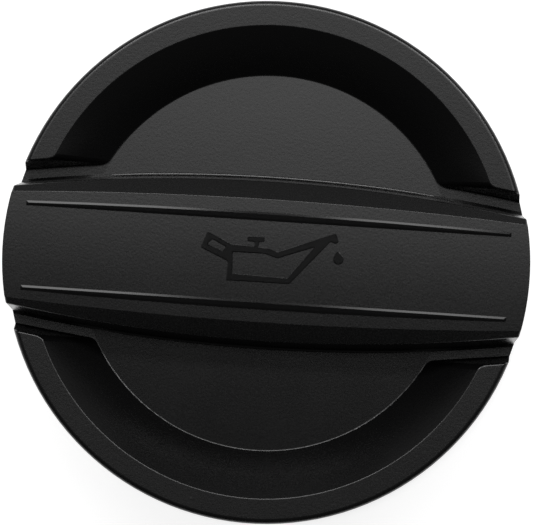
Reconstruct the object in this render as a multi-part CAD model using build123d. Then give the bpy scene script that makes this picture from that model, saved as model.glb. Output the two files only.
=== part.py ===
from build123d import *
import math
import os

# Oil filler cap: a round dished cap with a barrel-shaped grip bar across it, moulded in one piece,
# and a rubber O-ring on its neck. The cap stands on the end of its neck, with the bar along X.

# Cap, dish and rim
cap_diameter = 75.0
wall = 2.5
dish_diameter = 54.35
rim_height = 5.5
rim_width = 3.6
rim_edge_round = 0.8
rim_edge_sweep = 80.0
rim_inner_round = 0.25
slope_foot_round = 0.25
dish_crown = 0.65
crown_margin = 0.05

# Grip bar: its width at the middle, and how far each side draws in at the edge of the cap.
# Its sides are steep, and a wide bevel leads from them up to the crowned top
bar_height = 9.5
bar_foot_width = 24.3
bar_foot_bow = 3.0
bar_draft = 5.8
bar_top_width = 17.15
bar_top_bow = 1.22
bar_bevel_tilt = 38.0
bar_crown = 0.14
bar_edge_round = 0.1
bar_corner_round = 0.3
bar_foot_bevel = 0.35

# Raised stripe along each side of the bar's top, straight inside and bowed outside
stripe_length = 69.0
stripe_spacing = 11.4
stripe_width = 1.22
stripe_end_width = 0.65
stripe_height = 0.25
stripe_flank = 0.3
stripe_flank_drop = 0.12

# Channel between the bar and the ends of the rim
channel_width = 1.75
channel_draft = 9.5
channel_corner_round = 1.2

# Skirt, and the stiffening ribs inside it
skirt_depth = 6.0
skirt_edge_round = 0.5
rib_thickness = 1.6
rib_depth = 3.0
ribs_per_side = 6
rib_spread = 90.0

# Neck, and the groove between two lands that holds the seal
neck_length = 22.0
neck_lead_in = 0.8
land_radius = 20.0
land_lead_in = 0.6
upper_land = 2.0
lower_land = 3.0
bore_clearance = 0.15
seal_section = 4.0
seal_squeeze = 0.7
seal_side_play = 0.7
seal_clearance = 0.05

# Bayonet lugs, each with a sloped upper face and a stop at its thick end
lug_count = 2
lug_radius = 19.4
lug_angle = 60.0
lug_foot = 3.5
lug_height = 4.0
lug_ramp = 4.0
stop_angle = 9.0

# How far a cutting shape runs past what it cuts, and a joined shape into what carries it,
# and how near an edge has to lie to be picked by its height or radius
overrun = 2.0
bite = 0.5
near = 0.01

# Heights above the end of the neck
flange_z = neck_length
floor_z = flange_z + wall
rim_z = floor_z + rim_height
bar_z = floor_z + bar_height
skirt_z = flange_z - skirt_depth
groove_top_z = flange_z - upper_land
groove_foot_z = groove_top_z - seal_section - 2 * seal_side_play
land_foot_z = groove_foot_z - lower_land

# Radii
cap_radius = cap_diameter / 2
skirt_inside = cap_radius - wall
dish_radius = dish_diameter / 2
rim_inside = cap_radius - rim_width
neck_radius = land_radius + bore_clearance + seal_squeeze - seal_section
neck_bore = neck_radius - wall

# Run of the slope from the dish up to the rim, and where the hollow under it starts
slope_run = (rim_inside - dish_radius) / rim_height
hollow_radius = skirt_inside - (rim_z - wall - flange_z) * slope_run

# Crown of the dish floor: it ends just inside the round at the foot of the slope
slope_angle = math.atan2(rim_height, rim_inside - dish_radius)
crown_edge = dish_radius - slope_foot_round * math.tan(slope_angle / 2) - crown_margin
dish_crown_radius = (crown_edge ** 2 + dish_crown ** 2) / (2 * dish_crown)

# Slant of the bar's sides and bevels, the crown of its top, and the height on it that carries the stripes
bar_side_run = math.tan(math.radians(bar_draft))
bevel_angle = math.radians(bar_bevel_tilt)
bar_crown_radius = ((bar_top_width / 2) ** 2 + bar_crown ** 2) / (2 * bar_crown)
stripe_middle = (stripe_spacing + stripe_width) / 2
stripe_z = bar_z - bar_crown_radius + math.sqrt(bar_crown_radius ** 2 - stripe_middle ** 2)


def half_section(points):
    """Flat face on the XZ plane from its corners, given as radius and height."""
    return make_face(Polyline(*[(r, 0, z) for r, z in points], close=True))


def ring(inner, outer, low, high):
    """Plain ring about Z."""
    return revolve(half_section([(inner, low), (outer, low), (outer, high), (inner, high)]), Axis.Z)


def sector(inner, outer, low, high, start, sweep):
    """Part of a ring about Z, from a start angle over a sweep in degrees."""
    face = half_section([(inner, low), (outer, low), (outer, high), (inner, high)])
    return Rot(0, 0, start) * revolve(face, Axis.Z, revolution_arc=sweep)


def barrel(half_width, bow, z):
    """Strip along X across the whole cap, its long sides bowed, as a flat face at height z."""
    reach = cap_radius + overrun
    end_half = half_width - bow * (reach / cap_radius) ** 2
    outline = [
        ThreePointArc((-reach, end_half), (0, half_width), (reach, end_half)),
        Line((reach, end_half), (reach, -end_half)),
        ThreePointArc((reach, -end_half), (0, -half_width), (-reach, -end_half)),
        Line((-reach, -end_half), (-reach, end_half)),
    ]
    return Pos(0, 0, z) * make_face(outline)


def edges_at(solid, z):
    """Edges of the flat level faces at height z."""
    faces = solid.faces().filter_by(Axis.Z).filter_by_position(Axis.Z, z - near, z + near)
    return faces.edges()


def top_face(solid):
    """Highest face of a solid."""
    return solid.faces().sort_by(Axis.Z)[-1]


def on_radius(edge, radius):
    """True for an edge that lies on a cylinder about Z."""
    points = [edge.position_at(t) for t in (0, 0.5, 1)]
    return all(abs(math.hypot(p.X, p.Y) - radius) < near for p in points)


def rim_edge(angle):
    """Point on the arc at the rim's outer edge, at an angle in degrees from its top."""
    turn = math.radians(angle)
    centre = cap_radius - rim_edge_round * math.sin(math.radians(rim_edge_sweep))
    r = centre + rim_edge_round * math.sin(turn)
    return (r, 0, rim_z - rim_edge_round * (1 - math.cos(turn)))


def dish_and_rim():
    """Floor, slope, rim and skirt as one section spun about Z."""
    corners = [
        (rim_inside, 0, rim_z),
        (dish_radius, 0, floor_z),
        (0, 0, floor_z),
        (0, 0, flange_z),
        (skirt_inside, 0, flange_z),
        (skirt_inside, 0, skirt_z),
        (cap_radius, 0, skirt_z),
    ]
    arc = ThreePointArc(rim_edge(rim_edge_sweep), rim_edge(rim_edge_sweep / 2), rim_edge(0))
    section = make_face([arc, Polyline(rim_edge(0), *corners, rim_edge(rim_edge_sweep))])
    for r in (cap_radius, skirt_inside):
        section = fillet(section.vertices().sort_by_distance((r, 0, skirt_z))[0], skirt_edge_round)
    return revolve(section, Axis.Z)


def channel(margin):
    """Strip that the bar passes through, opening upwards by its draft, grown by a margin all round."""
    half = bar_foot_width / 2 + channel_width + margin
    low_z = floor_z - margin
    high_z = rim_z + overrun
    spread = (high_z - low_z) * math.tan(math.radians(channel_draft))
    return loft([barrel(half, bar_foot_bow, low_z), barrel(half + spread, bar_foot_bow, high_z)], ruled=True)


def cut_channel(dish):
    """Rim parted by the channel, with its corners, its inner edges and the foot of the slope rounded."""
    dish -= channel(0)
    flat = edges_at(dish, rim_z) + edges_at(dish, floor_z)
    corners = [e for e in dish.faces().filter_by(GeomType.CONE).edges() if e not in flat]
    dish = fillet(corners, channel_corner_round)
    tops = [e for e in edges_at(dish, rim_z) if not on_radius(e, rim_edge(0)[0])]
    dish = fillet(tops, rim_inner_round)
    feet = [e for e in edges_at(dish, floor_z) if not on_radius(e, cap_radius)]
    return fillet(feet, slope_foot_round)


def crowned_floor():
    """Shallow dome on the dish floor, highest at the axis."""
    ball = Pos(0, 0, floor_z + dish_crown - dish_crown_radius) * Sphere(dish_crown_radius)
    return ring(0, crown_edge, floor_z - bite, bar_z) & ball


def foot_bevel():
    """Narrow bevel where the bar's sides stand on the dish and the channel."""
    low = barrel(bar_foot_width / 2 + bar_foot_bevel, bar_foot_bow, floor_z)
    high = barrel(bar_foot_width / 2 - bar_foot_bevel, bar_foot_bow, floor_z + bar_foot_bevel)
    return loft([low, high], ruled=True) & ring(0, cap_radius, floor_z, bar_z)


def bar_block(inset, low_z, radius):
    """Barrel-shaped bar with steep sides and bevels along its top, drawn in by an inset from its faces."""
    high_z = bar_z - inset

    def side(z):
        return barrel(bar_foot_width / 2 - inset - (z - floor_z) * bar_side_run, bar_foot_bow, z)

    def bevel(z):
        drop = bar_z - z - inset / math.cos(bevel_angle)
        return barrel(bar_top_width / 2 + drop / math.tan(bevel_angle), bar_top_bow, z)

    sides = loft([side(low_z), side(high_z)], ruled=True)
    bevels = loft([bevel(low_z), bevel(high_z)], ruled=True)
    return sides & bevels & ring(0, radius, low_z, high_z)


def grip_bar():
    """The bar, its corners rounded and its top crowned, with its ends on the cap's own cylinder."""
    bar = bar_block(0, floor_z, cap_radius)
    level = edges_at(bar, floor_z) + edges_at(bar, bar_z)
    bar = fillet([e for e in bar.edges() if e not in level], bar_corner_round)
    bar &= Pos(0, 0, bar_z - bar_crown_radius) * Rot(0, 90, 0) * Cylinder(bar_crown_radius, 2 * cap_diameter)
    bar = fillet(top_face(bar).edges(), bar_edge_round)
    return bar + foot_bevel()


def stripe():
    """Low raised stripe on the +Y side of the bar's top, widest at mid-length, with sloped flanks."""
    inside = stripe_spacing / 2
    reach = stripe_length / 2
    outline = [
        Line((-reach, inside), (reach, inside)),
        Line((reach, inside), (reach, inside + stripe_end_width)),
        ThreePointArc(
            (reach, inside + stripe_end_width),
            (0, inside + stripe_width),
            (-reach, inside + stripe_end_width),
        ),
        Line((-reach, inside + stripe_end_width), (-reach, inside)),
    ]
    strip = extrude(Pos(0, 0, stripe_z - bite) * make_face(outline), stripe_height + bite)
    top = top_face(strip)
    return chamfer(top.edges(), stripe_flank, stripe_flank_drop, reference=top)


def bar_hollow():
    """Space inside the bar, open downwards, parted by the neck's wall that runs up through it."""
    hollow = bar_block(wall, flange_z, skirt_inside)
    return hollow - ring(neck_bore, land_radius, flange_z, bar_z)


def rim_hollow():
    """Space under the slope and the rim, open downwards, clear of the channel by one wall."""
    section = half_section([
        (hollow_radius, flange_z),
        (skirt_inside, flange_z),
        (skirt_inside, rim_z - wall),
    ])
    return revolve(section, Axis.Z) - channel(wall)


def skirt_ribs():
    """Thin radial ribs that tie the skirt to the underside of the slope, on both sides of the bar."""
    low_z = flange_z - rib_depth
    outer = skirt_inside + bite
    profile = half_section([
        (hollow_radius, low_z),
        (outer, low_z),
        (outer, rim_z - wall),
        (hollow_radius, flange_z + bite),
    ])
    rib = extrude(profile, rib_thickness / 2, both=True)
    step = rib_spread / (ribs_per_side - 1)
    first = 90 - rib_spread / 2
    angles = [side + first + i * step for side in (0, 180) for i in range(ribs_per_side)]
    return [Rot(0, 0, angle) * rib for angle in angles]


def neck():
    """Tube with the two lands that hold the seal between them."""
    top_z = flange_z + bite
    section = half_section([
        (neck_bore, 0),
        (neck_radius - neck_lead_in, 0),
        (neck_radius, neck_lead_in),
        (neck_radius, land_foot_z),
        (land_radius - land_lead_in, land_foot_z),
        (land_radius, land_foot_z + land_lead_in),
        (land_radius, groove_foot_z),
        (neck_radius, groove_foot_z),
        (neck_radius, groove_top_z),
        (land_radius, groove_top_z),
        (land_radius, top_z),
        (neck_bore, top_z),
    ])
    return revolve(section, Axis.Z)


def lug():
    """Bayonet lug on the +Y side: its upper face rises towards the end that has the stop."""
    root = neck_radius - bite
    top_z = lug_foot + lug_height
    start = 90 - lug_angle / 2
    block = sector(root, lug_radius, lug_foot, land_foot_z, start, lug_angle - stop_angle)
    reach = 2 * land_radius
    above = Pos(0, lug_radius, top_z) * Rot(0, lug_ramp, 0) * Box(
        reach, reach, reach, align=(Align.CENTER, Align.CENTER, Align.MIN)
    )
    stop_start = start + lug_angle - stop_angle
    stop = sector(root, lug_radius, lug_foot, land_foot_z + bite, stop_start, stop_angle)
    return (block - above) + stop


def cap_body():
    """The whole moulding."""
    body = cut_channel(dish_and_rim()) + crowned_floor() + grip_bar()
    body += [stripe(), Rot(0, 0, 180) * stripe()]
    body += neck()
    body -= [bar_hollow(), rim_hollow()]
    body += skirt_ribs()
    body += [Rot(0, 0, i * 360 / lug_count) * lug() for i in range(lug_count)]
    return body


def seal_ring():
    """O-ring in the groove, at its free size, so it stands proud of the lands."""
    middle = neck_radius + seal_clearance + seal_section / 2
    height = (groove_top_z + groove_foot_z) / 2
    return Pos(0, 0, height) * Torus(middle, seal_section / 2)


os.makedirs("parts", exist_ok=True)
for name, solid in {"cap_body": cap_body(), "seal_ring": seal_ring()}.items():
    export_step(solid, f"parts/{name}.step")
    size = solid.bounding_box().size
    print(f"{name}: {solid.volume:.0f} mm3, {size.X:.2f} x {size.Y:.2f} x {size.Z:.2f} mm")
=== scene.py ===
# %% [markdown]
# # An oil filler cap in black grained nylon
#
# The cap is one black moulding with a rubber O-ring on its neck. Its form comes ready made from the
# CAD frame, so this lesson is about its looks: a camera, a finish for each material, one small raised
# sign, two thin rounds along the foot of the grip bar, a floor and some lamps. Every length is in
# metres, in the frame of the CAD model, and `mm` turns millimetres into them.

# %% Load the frame
import math

import bmesh
import bpy
from mathutils import Matrix, Vector
from mathutils.geometry import tessellate_polygon


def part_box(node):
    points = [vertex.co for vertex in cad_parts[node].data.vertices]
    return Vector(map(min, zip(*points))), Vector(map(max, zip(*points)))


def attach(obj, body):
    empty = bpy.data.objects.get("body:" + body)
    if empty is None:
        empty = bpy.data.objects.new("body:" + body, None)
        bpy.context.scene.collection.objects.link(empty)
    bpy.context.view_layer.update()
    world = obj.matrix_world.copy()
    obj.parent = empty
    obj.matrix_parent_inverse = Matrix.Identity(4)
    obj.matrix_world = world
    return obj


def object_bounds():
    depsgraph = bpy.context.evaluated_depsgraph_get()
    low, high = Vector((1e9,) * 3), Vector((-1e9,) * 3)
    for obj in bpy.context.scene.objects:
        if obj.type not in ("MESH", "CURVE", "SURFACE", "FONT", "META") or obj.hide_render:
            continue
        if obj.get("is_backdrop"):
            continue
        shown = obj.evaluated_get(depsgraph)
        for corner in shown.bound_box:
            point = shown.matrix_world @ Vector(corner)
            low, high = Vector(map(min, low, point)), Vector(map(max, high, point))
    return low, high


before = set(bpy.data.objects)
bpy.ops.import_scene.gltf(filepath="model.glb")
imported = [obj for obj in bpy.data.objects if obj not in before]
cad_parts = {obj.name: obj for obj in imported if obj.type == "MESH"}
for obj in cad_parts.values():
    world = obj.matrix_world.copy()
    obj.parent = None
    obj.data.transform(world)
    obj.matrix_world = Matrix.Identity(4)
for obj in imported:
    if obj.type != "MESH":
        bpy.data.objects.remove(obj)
cad_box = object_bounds()
mm = 0.001


def in_mm(lengths):
    """Lengths in rounded millimetres, to print."""
    return [round(length / mm, 2) for length in lengths]


cap_low, cap_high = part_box("cap_body")
print("cap", in_mm(cap_high - cap_low), "mm")

# %% [markdown]
# ## The top of the grip bar
#
# The finish changes on top of the bar, so that surface is needed as a formula. It is a crown: level
# along the bar and a very flat arc across it. Its height, width and rise repeat the CAD model's own,
# and the radius of the arc follows from them.

# %% Crown of the bar
bar_top = 34.0 * mm
crown_width = 17.15 * mm
crown_rise = 0.14 * mm
crown_radius = ((crown_width / 2) ** 2 + crown_rise ** 2) / (2 * crown_rise)
print("crown radius, and stripes above its middle", in_mm([crown_radius, cap_high.z - bar_top]), "mm")

# %% [markdown]
# ## The camera
#
# The cap is seen from almost straight above with a long lens, so its circle stays a circle and only
# the bar's sides show a little. The camera leans a degree or two towards the right and the lower edge
# of the picture, and the bar lies a little clockwise. It could be placed by hand with three angles.
# Here the picture's own right and up directions are worked out first, and everything else follows
# from them.

# %% Directions of the picture
bar_turn = math.radians(3.8)
lean_right = math.radians(1.3)
lean_down = math.radians(1.6)

picture_right = Vector((math.cos(bar_turn), math.sin(bar_turn), 0))
picture_up = Vector((-math.sin(bar_turn), math.cos(bar_turn), 0))
straight_up = Vector((0, 0, 1))
lean = picture_right * math.tan(lean_right) - picture_up * math.tan(lean_down)
towards_camera = (straight_up + lean).normalized()
right = (picture_right - towards_camera * picture_right.dot(towards_camera)).normalized()
up = towards_camera.cross(right)
print("the camera leans", round(math.degrees(towards_camera.angle(straight_up)), 2), "degrees")

# %% Camera
camera_distance = 485 * mm
frame_width = 76.24 * mm
sensor_width = 36.0
look_height = 30 * mm
look_right = 0.03 * mm
look_down = 0.11 * mm


def add_object(name, data):
    """Put a new object into the scene."""
    thing = bpy.data.objects.new(name, data)
    bpy.context.scene.collection.objects.link(thing)
    return thing


target = straight_up * look_height + picture_right * look_right - picture_up * look_down
camera_data = bpy.data.cameras.new("camera")
camera_data.sensor_width = sensor_width
camera_data.lens = sensor_width * camera_distance / frame_width
camera = add_object("camera", camera_data)
facing_cap = Matrix((right, up, towards_camera)).transposed().to_4x4()
camera.matrix_world = Matrix.Translation(target + towards_camera * camera_distance) @ facing_cap
bpy.context.scene.camera = camera
print("lens", round(camera_data.lens, 1), "mm")

# %% [markdown]
# ## Writing shaders as sums
#
# A material is a graph of nodes, and most of its nodes are plain arithmetic. Building each one by
# hand hides the idea, so a small class wraps an output socket: `a * 2 + b` adds the two Math nodes
# and their links. Every other kind of node comes from the one method `node`, which takes its type,
# its settings and what goes into its sockets.


# %% A wire in a node tree
class Wire:
    """An output socket in a node tree. Arithmetic on wires adds Math nodes."""

    def __init__(self, tree, socket=None):
        self.tree = tree
        self.socket = socket

    def node(self, kind, settings=(), inputs=(), output=0):
        """Add a node, its settings first, then values or wires for its sockets. Gives one output."""
        new = self.tree.nodes.new(kind)
        for name, value in dict(settings).items():
            setattr(new, name, value)
        for name, value in dict(inputs).items():
            if isinstance(value, Wire):
                self.tree.links.new(value.socket, new.inputs[name])
            else:
                new.inputs[name].default_value = value
        return Wire(self.tree, new.outputs[output] if new.outputs else None)

    def math(self, operation, *others):
        """Add a Math node on this wire and any wires or numbers that follow it."""
        return self.node("ShaderNodeMath", {"operation": operation}, enumerate((self, *others)))

    def __add__(self, other):
        return self.math("ADD", other)

    def __sub__(self, other):
        return self.math("SUBTRACT", other)

    def __mul__(self, other):
        return self.math("MULTIPLY", other)

    def __rsub__(self, other):
        return self * -1.0 + other

    __radd__ = __add__
    __rmul__ = __mul__


# %% Steps, blends and materials
def step(wire, start, end):
    """0 below start, 1 above end, and a smooth rise between them."""
    inputs = {"Value": wire, "From Min": start, "From Max": end}
    return wire.node("ShaderNodeMapRange", {"interpolation_type": "SMOOTHSTEP"}, inputs)


def blend(factor, low, high):
    """A colour between two colours."""
    inputs = {"Factor": factor, "A": low, "B": high}
    return factor.node("ShaderNodeMix", {"data_type": "RGBA"}, inputs, "Result")


def new_material(name):
    """A material without nodes, and the wire to build them from."""
    material = bpy.data.materials.new(name)
    material.use_nodes = True
    material.node_tree.nodes.clear()
    return material, Wire(material.node_tree)


def show(material, surface):
    """Join a surface to the output of its material."""
    surface.node("ShaderNodeOutputMaterial", {}, {"Surface": surface})
    print("material", material.name, "has", len(material.node_tree.nodes), "nodes")
    return material


# %% [markdown]
# ## Grain and dust
#
# The mould for such a cap is spark-eroded, which leaves a fine even grain on every outer face. A few
# grains of dust lie on the faces that look up. Both could be pictures laid over the cap, but noise
# made by nodes has no seams and gets its cells at a real size. The dust is what lies close to the
# scattered points of a Voronoi pattern.

# %% Grain and dust
finer_share = 0.6
dust_spacing = 5 * mm
dust_radius = 0.11 * mm
# How far up a face has to look, as the Z of its normal
dust_slides = 0.6
dust_stays = 0.8


def grain(place, size, detail):
    """Even noise with cells of a real size."""
    inputs = {"Vector": place, "Scale": 1 / size, "Detail": detail, "Roughness": finer_share}
    return place.node("ShaderNodeTexNoise", {}, inputs, "Fac")


def bumps(height, depth):
    """The normals of a skin whose bumps have a real depth."""
    inputs = {"Strength": 1.0, "Distance": depth, "Height": height}
    return height.node("ShaderNodeBump", {}, inputs, "Normal")


def dust(place):
    """Mask of small scattered grains on the faces that look up."""
    inputs = {"Vector": place, "Scale": 1 / dust_spacing}
    distance = place.node("ShaderNodeTexVoronoi", {}, inputs, "Distance")
    edge = dust_radius / dust_spacing
    normal = place.node("ShaderNodeNewGeometry", output="Normal")
    upward = place.node("ShaderNodeSeparateXYZ", {}, {"Vector": normal}, "Z")
    return (1 - step(distance, edge / 2, edge)) * step(upward, dust_slides, dust_stays)


# %% [markdown]
# ## Grained black nylon
#
# Light comes off the grained plastic as a soft sheen broken up by specks, and hardly any of it comes
# from the colour itself, which is almost black. One flat black would look like a hole. So the colour
# stays dark, and the look is made by roughness and by a bump of two noises, one for the grain and a
# finer one for the specks in it. A third, much wider noise clouds the roughness a little. What stands
# above the bar's crown was polished in the mould, the two stripes more than the sign between them:
# there the grain goes and the roughness falls.

# %% Nylon in numbers
nylon_black = (0.0020, 0.0020, 0.0021, 1)
nylon_grey = (0.0032, 0.0032, 0.0033, 1)
dust_grey = (0.05, 0.05, 0.048, 1)
nylon_ior = 1.5
grain_size = 0.42 * mm
speck_size = 0.24 * mm
cloud_size = 9 * mm
grain_height = 0.011 * mm
grain_share = 0.7
grained_roughness = 0.27
# Noise swings the roughness about its own middle value
noise_middle = 0.5
cloud_swing = 0.04
speck_swing = 0.06
sign_roughness = 0.15
stripe_roughness = 0.09
# The polish comes in between two heights above the crown
polish_starts = 0.02 * mm
polish_full = 0.05 * mm
# The sign lies within one distance from the bar's middle line, and the stripes beyond another
sign_ends = 4.8 * mm
stripes_start = 5.2 * mm
print("cells of the grain and its specks", in_mm([grain_size, speck_size]), "mm")


# %% Grained nylon
def grained_nylon():
    """Black plastic with the grain of its mould, polished above the bar's crown."""
    material, wire = new_material("grained_nylon")
    place = wire.node("ShaderNodeTexCoord", output="Object")
    y = wire.node("ShaderNodeSeparateXYZ", {}, {"Vector": place}, "Y")
    z = wire.node("ShaderNodeSeparateXYZ", {}, {"Vector": place}, "Z")
    above_crown = z - bar_top + y * y * (0.5 / crown_radius)
    grained = 1 - step(above_crown, polish_starts, polish_full)
    on_stripe = step(y.math("ABSOLUTE"), sign_ends, stripes_start)
    coarse = grain(place, grain_size, detail=1.0)
    fine = grain(place, speck_size, detail=0.0)
    cloudy = grain(place, cloud_size, detail=2.0)
    height = (coarse * grain_share + fine * (1 - grain_share)) * grained
    swing = (cloudy - noise_middle) * cloud_swing + (fine - noise_middle) * speck_swing
    rough = swing + grained_roughness
    polished = on_stripe * (stripe_roughness - sign_roughness) + sign_roughness
    surface = wire.node("ShaderNodeBsdfPrincipled", {}, {
        "Base Color": blend(dust(place), blend(coarse, nylon_black, nylon_grey), dust_grey),
        "Roughness": (rough - polished) * grained + polished,
        "Normal": bumps(height, grain_height),
        "IOR": nylon_ior,
    })
    return show(material, surface)


def dress(node, material):
    """Give a CAD node its finish."""
    node.data.materials.clear()
    node.data.materials.append(material)


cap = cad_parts["cap_body"]
nylon = grained_nylon()
dress(cap, nylon)

# %% [markdown]
# ## The sign on the bar
#
# A small oil can stands on the bar, the common sign for engine oil. In the mould it is an engraving,
# so on the cap it is raised by a tenth of a millimetre, with sloped flanks and a level, polished top.
# It could be a cut-out in a texture, but real strokes catch the light along their flanks. Each
# outline is drawn in millimetres from the middle of the bar and runs with the stroke on its left:
# anticlockwise round the outside and clockwise round a hole.

# %% Outlines of the sign
can_outside = [
    (-8.5, 3.63), (-9.36, 1.32), (-5.34, -0.4), (-5.46, -3.11), (3.54, -3.07), (8.67, 2.9), (9.04, 3.32),
    (9.75, 3.04), (10.17, 3.32), (9.89, 4.21), (9.55, 4.47), (1.59, 1.34), (0.25, 1.82), (-1.09, 1.84),
    (-1.14, 2.63), (-0.31, 2.68), (-0.37, 3.36), (-2.83, 3.29), (-2.77, 2.61), (-1.71, 2.61), (-1.69, 1.94),
    (-5.05, 2.05),
]
handle_hole = [(-8.41, 1.85), (-7.79, 2.62), (-5.75, 1.61), (-6.2, 1.02)]
can_hole = [(-4.74, 0.96), (-0.27, 1.0), (1.65, 0.44), (6.78, 2.39), (3.3, -2.26), (-4.58, -2.08)]
drop_tip = (10.1, 2.14)
drop_middle = (10.27, 0.9)
drop_radius = 0.76
belly_degrees = range(150, 391, 20)


def drop_outline():
    """A round belly drawn out to a tip above it."""
    points = [drop_tip]
    for degrees in belly_degrees:
        angle = math.radians(degrees)
        x = drop_middle[0] + drop_radius * math.cos(angle)
        y = drop_middle[1] + drop_radius * math.sin(angle)
        points.append((x, y))
    return points


drop = drop_outline()
print("the sign's outlines have", [len(o) for o in (can_outside, handle_hole, can_hole, drop)], "points")

# %% [markdown]
# An engraver's tool leaves no sharp corner, so each corner of an outline becomes a short curve.
# Copies of the outline, moved in and up step by step, then make the flanks, and triangles close the
# form below, inside the bar, and on top.

# %% Rounded outlines
corner_cut = 0.2
cuts_in_side = 2.5
corner_places = (0.0, 0.33, 0.67, 1.0)


def around(points):
    """Each point of a closed outline with the points before and after it."""
    return zip(points[-1:] + points[:-1], points, points[1:] + points[:1])


def bend(start, corner, end, t):
    """A point of the curve from start to end that a corner draws out, for t from 0 to 1."""
    return start * (1 - t) ** 2 + corner * 2 * t * (1 - t) + end * t ** 2


def cut_end(corner, neighbour):
    """Where the curve at a corner meets the side that leads to a neighbour. Short sides get short cuts."""
    side = neighbour - corner
    return corner + side.normalized() * min(corner_cut, side.length / cuts_in_side)


def rounded(points):
    """The same outline with each corner cut to a short curve."""
    curve = []
    for before, corner, after in around([Vector(p) for p in points]):
        start = cut_end(corner, before)
        end = cut_end(corner, after)
        curve += [bend(start, corner, end, t) for t in corner_places]
    return curve


can_lines = [rounded(outline) for outline in (can_outside, handle_hole, can_hole)]
drop_line = rounded(drop)
print("rounded, they have", [len(line) for line in (*can_lines, drop_line)], "points")

# %% Strokes of the sign
# How far the outline is moved in, and its height over the bar's top, both in millimetres
edge_steps = [(0.0, -0.08), (0.0, 0.02), (0.15, 0.1)]
least_spread = 0.5


def moved_in(points, distance):
    """The outline moved to its left. The least spread keeps a sharp corner from running off."""
    result = []
    for before, point, after in around(points):
        coming = (point - before).normalized()
        going = (after - point).normalized()
        left = Vector((-coming.y - going.y, coming.x + going.x)).normalized()
        spread = max(least_spread, left.dot(Vector((-coming.y, coming.x))))
        result.append(point + left * (distance / spread))
    return result


def fill(form, loops):
    """Triangles over the space between an outline and its holes."""
    corners = [vertex for loop in loops for vertex in loop]
    for triangle in tessellate_polygon([[vertex.co for vertex in loop] for loop in loops]):
        form.faces.new([corners[i] for i in triangle])


def add_strokes(form, outlines):
    """Raise one outline and its holes out of the crown, with sloped flanks and a level top."""
    levels = []
    for distance, height in edge_steps:
        level = []
        for outline in outlines:
            ring = moved_in(outline, distance)
            level.append([form.verts.new((p.x * mm, p.y * mm, bar_top + height * mm)) for p in ring])
        levels.append(level)
    for below, above in zip(levels, levels[1:]):
        for lower, upper in zip(below, above):
            for i in range(len(lower)):
                form.faces.new((lower[i - 1], lower[i], upper[i], upper[i - 1]))
    fill(form, levels[0])
    fill(form, levels[-1])


sign_form = bmesh.new()
add_strokes(sign_form, can_lines)
add_strokes(sign_form, [drop_line])
print("the sign's form has", len(sign_form.verts), "vertices")


# %% The sign as a piece
def add_to_cap(name, form):
    """Make a form into a piece of nylon that rides with the cap."""
    bmesh.ops.recalc_face_normals(form, faces=form.faces)
    mesh = bpy.data.meshes.new(name)
    form.to_mesh(mesh)
    form.free()
    mesh.materials.append(nylon)
    piece = add_object(name, mesh)
    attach(piece, "root")
    print(name, len(mesh.polygons), "faces", in_mm(piece.dimensions), "mm")


add_to_cap("oil_sign", sign_form)

# %% [markdown]
# ## The rounds at the bar's foot
#
# Where the bar stands on the domed floor of the dish, the mould leaves a small round in the corner,
# which shows as a fine light line. A modifier could bevel that edge, but it would change the CAD
# mesh. So the round is a thin closed strip laid in the corner. Rays cast at the cap find the floor
# and the bar's side all along it, and the strip's face is a curve between the two.

# %% Finding the corner
# Rays start beside the bar, over the dish floor, or above the whole cap
clear_of_bar = 12.5 * mm
clear_of_top = 40 * mm
bpy.context.view_layer.update()


def side_of_bar(x, z, side):
    """How far out the bar's side is at a height, looking in from the plus or the minus Y side."""
    return cap.ray_cast((x, side * clear_of_bar, z), (0, -side, 0))[1].y


def dish_floor(x, y):
    """Height of the dish floor, looking down."""
    return cap.ray_cast((x, y, clear_of_top), (0, 0, -1))[1].z


floor_heights = [dish_floor(0, side * clear_of_bar) for side in (1, -1)]
print("dish floor on both sides of the bar", in_mm(floor_heights), "mm up")

# %% Rounds at the foot
foot_round = 0.45 * mm
foot_reach = 24 * mm
foot_taper = 4 * mm
foot_steps = 64
curve_steps = 8
# The strip's hidden edge lies buried behind the corner, which rays look for just off its two faces
buried = 0.15 * mm
just_off = 0.05 * mm


def foot_section(x, side):
    """Closed section of the round at one place along the bar."""
    size = foot_round * min(1.0, (foot_reach + buried - abs(x)) / foot_taper)
    wall_y = side_of_bar(x, dish_floor(x, side * clear_of_bar) + just_off, side)
    corner = Vector((x, wall_y, dish_floor(x, wall_y + side * just_off)))
    toe = Vector((x, wall_y + side * size, dish_floor(x, wall_y + side * size)))
    head = Vector((x, side_of_bar(x, corner.z + size, side), corner.z + size))
    face = [bend(toe, corner, head, i / curve_steps) for i in range(curve_steps + 1)]
    return face + [corner + Vector((0, -side * buried, -buried))]


def add_foot_round(form, side):
    """One strip along the foot of the bar, as a row of sections joined by faces."""
    rows = []
    for i in range(foot_steps + 1):
        x = foot_reach * (2 * i / foot_steps - 1)
        rows.append([form.verts.new(p) for p in foot_section(x, side)])
    for row, following in zip(rows, rows[1:]):
        for i in range(len(row)):
            face = form.faces.new((row[i - 1], row[i], following[i], following[i - 1]))
            face.smooth = 0 < i <= curve_steps
    form.faces.new(rows[0])
    form.faces.new(rows[-1])


foot_form = bmesh.new()
add_foot_round(foot_form, 1)
add_foot_round(foot_form, -1)
add_to_cap("foot_rounds", foot_form)

# %% [markdown]
# ## Seal rubber
#
# The O-ring is moulded in oil-resistant rubber. It is nearly as black as the cap but has a dull,
# slightly waxy skin. One roughness would make it look like plastic, so a soft noise a few millimetres
# wide spreads a pale bloom on it that is also duller, and a fine one gives the skin its bumps.

# %% Rubber
rubber_black = (0.012, 0.012, 0.012, 1)
rubber_bloom = (0.022, 0.022, 0.023, 1)
bloom_size = 3 * mm
skin_size = 0.2 * mm
skin_height = 0.004 * mm
rubber_roughness = 0.42
bloom_roughness = 0.2


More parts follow.
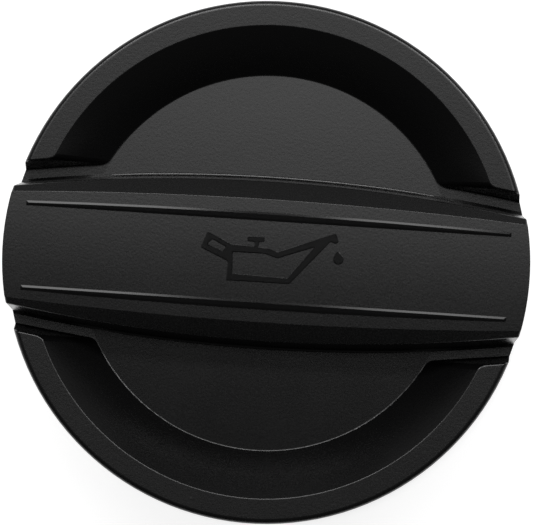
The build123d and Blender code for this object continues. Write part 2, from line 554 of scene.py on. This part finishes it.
def seal_rubber():
    """Dull black rubber with a faint bloom."""
    material, wire = new_material("seal_rubber")
    place = wire.node("ShaderNodeTexCoord", output="Object")
    bloom = grain(place, bloom_size, detail=3.0)
    skin = grain(place, skin_size, detail=1.0)
    surface = wire.node("ShaderNodeBsdfPrincipled", {}, {
        "Base Color": blend(bloom, rubber_black, rubber_bloom),
        "Roughness": bloom * bloom_roughness + rubber_roughness,
        "Normal": bumps(skin, skin_height),
    })
    return show(material, surface)


dress(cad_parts["seal_ring"], seal_rubber())

# %% [markdown]
# ## The floor
#
# The cap stands on a plain pale floor. Where the camera or a reflection sees the floor, it also
# shines by itself, like the glass of a light table, so that it looks white without more light on the
# cap. The glow stops under the cap, where a real floor lies in the dark, and the paint below it is
# ordinary and takes the cap's shadow.

# %% Floor
white = (1, 1, 1, 1)
floor_size = 1.2
floor_paint = (0.5, 0.5, 0.5, 1)
floor_glow = 0.86
shade_radius = 33 * mm
glow_radius = 40 * mm


def white_floor():
    """Pale paint that takes a shadow, with a glow over it that only the camera and reflections see."""
    material, wire = new_material("white_floor")
    seen = wire.node("ShaderNodeLightPath", output="Is Camera Ray")
    for ray in ("Is Glossy Ray", "Is Transmission Ray"):
        seen = seen.math("MAXIMUM", wire.node("ShaderNodeLightPath", output=ray))
    paint = wire.node("ShaderNodeBsdfDiffuse", {}, {"Color": floor_paint})
    glow = wire.node("ShaderNodeEmission", {}, {"Color": white, "Strength": floor_glow})
    glowing_paint = wire.node("ShaderNodeAddShader", {}, {0: paint, 1: glow})
    place = wire.node("ShaderNodeTexCoord", output="Object")
    radius = wire.node("ShaderNodeVectorMath", {"operation": "LENGTH"}, {0: place}, "Value")
    glows = seen * step(radius, shade_radius, glow_radius)
    return show(material, wire.node("ShaderNodeMixShader", {}, {0: glows, 1: paint, 2: glowing_paint}))


half = floor_size / 2
floor_corners = [(-half, -half, 0), (half, -half, 0), (half, half, 0), (-half, half, 0)]
floor_mesh = bpy.data.meshes.new("floor")
floor_mesh.from_pydata(floor_corners, [], [(0, 1, 2, 3)])
floor_mesh.materials.append(white_floor())
floor = add_object("floor", floor_mesh)
floor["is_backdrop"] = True
print("floor", floor_size, "m wide")

# %% [markdown]
# ## Lamps overhead
#
# A wide soft bank hangs high above the cap. It starts a few degrees from straight up and reaches out
# towards the top of the picture, so every face that is level mirrors its near edge: a face that leans
# a little up the picture turns grey, and one that leans the other way turns black. A brighter strip
# hangs beyond it. The rough plastic spreads its light widely, so the grey fades to black gently
# instead of ending at an edge. Two boxes hang further out still. The polished flanks of the stripes
# mirror them, and the space between the two is the dark stretch in the middle of each stripe. Each
# lamp gets the radiance that a mirror would show, and its power follows from its size.

# %% Lamps overhead
lamp_height = 4.0
bank_radiance = 1.78
strip_radiance = 11.5
left_radiance = 4.0
right_radiance = 3.8
# Each lamp reaches from one X to another, and from one angle off straight up to another
bank_x = (-2.3, 2.7)
left_box_x = (-1.6, -0.31)
right_box_x = (0.02, 0.34)
bank_degrees = (5.2, 20)
strip_degrees = (26, 34)
box_degrees = (38, 52)


def area_lamp(name, radiance, middle, aim, width, length):
    """A rectangular lamp that looks along aim."""
    data = bpy.data.lights.new(name, "AREA")
    data.shape = "RECTANGLE"
    data.size = width
    data.size_y = length
    data.energy = radiance * math.pi * width * length
    lamp = add_object(name, data)
    lamp.location = middle
    lamp.rotation_euler = aim.to_track_quat("-Z", "Y").to_euler()
    print("lamp", name, round(data.energy, 2), "W")


def soft_box(name, radiance, x_range, degrees):
    """A level lamp at lamp height, whose angles lean from straight up towards plus Y."""
    near, far = (lamp_height * math.tan(math.radians(angle)) for angle in degrees)
    middle = Vector((sum(x_range) / 2, (near + far) / 2, lamp_height))
    area_lamp(name, radiance, middle, Vector((0, 0, -1)), x_range[1] - x_range[0], far - near)


soft_box("bank", bank_radiance, bank_x, bank_degrees)
soft_box("strip", strip_radiance, bank_x, strip_degrees)
soft_box("left_box", left_radiance, left_box_x, box_degrees)
soft_box("right_box", right_radiance, right_box_x, box_degrees)

# %% [markdown]
# ## Panels and the room
#
# Dim panels stand on the floor far behind the cap and to its left and right. The bar's bevel and the
# slopes of the dish mirror them as an even dark grey. The two at the sides stand further back than
# the cap, so that they show in the lower slope and leave the upper one dark. The room itself gives a
# little light from everywhere.

# %% Panels and the room
panel_distance = 3.0
panel_width = 2 * panel_distance
back_radiance = 0.235
back_height = 0.8
side_radiance = 0.24
side_height = 2.2
side_shift = 1.6
room_light = 0.055


def panel(name, radiance, towards, height, shift=0.0):
    """A lamp that stands on the floor far off in one direction, shifted along Y, and looks back."""
    middle = towards * panel_distance + Vector((0, shift, height / 2))
    area_lamp(name, radiance, middle, -towards, panel_width, height)


panel("back_panel", back_radiance, Vector((0, 1, 0)), back_height)
panel("left_panel", side_radiance, Vector((-1, 0, 0)), side_height, side_shift)
panel("right_panel", side_radiance, Vector((1, 0, 0)), side_height, side_shift)

world = bpy.data.worlds.new("studio")
world.use_nodes = True
background = world.node_tree.nodes["Background"]
background.inputs["Color"].default_value = white
background.inputs["Strength"].default_value = room_light
bpy.context.scene.world = world
bpy.context.scene.view_settings.view_transform = "Standard"
print("light of the room", room_light)

# %% [markdown]
# ## Sizes
#
# Nothing that was added may make the cap larger than its CAD model. So the box of the CAD model, kept
# from the start, and the box of the dressed model are written side by side, and the last line looks
# through every piece.

# %% Sizes and the end
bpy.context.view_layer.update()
print("CAD box", [in_mm(c) for c in cad_box], "dressed", [in_mm(c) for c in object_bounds()], "mm")
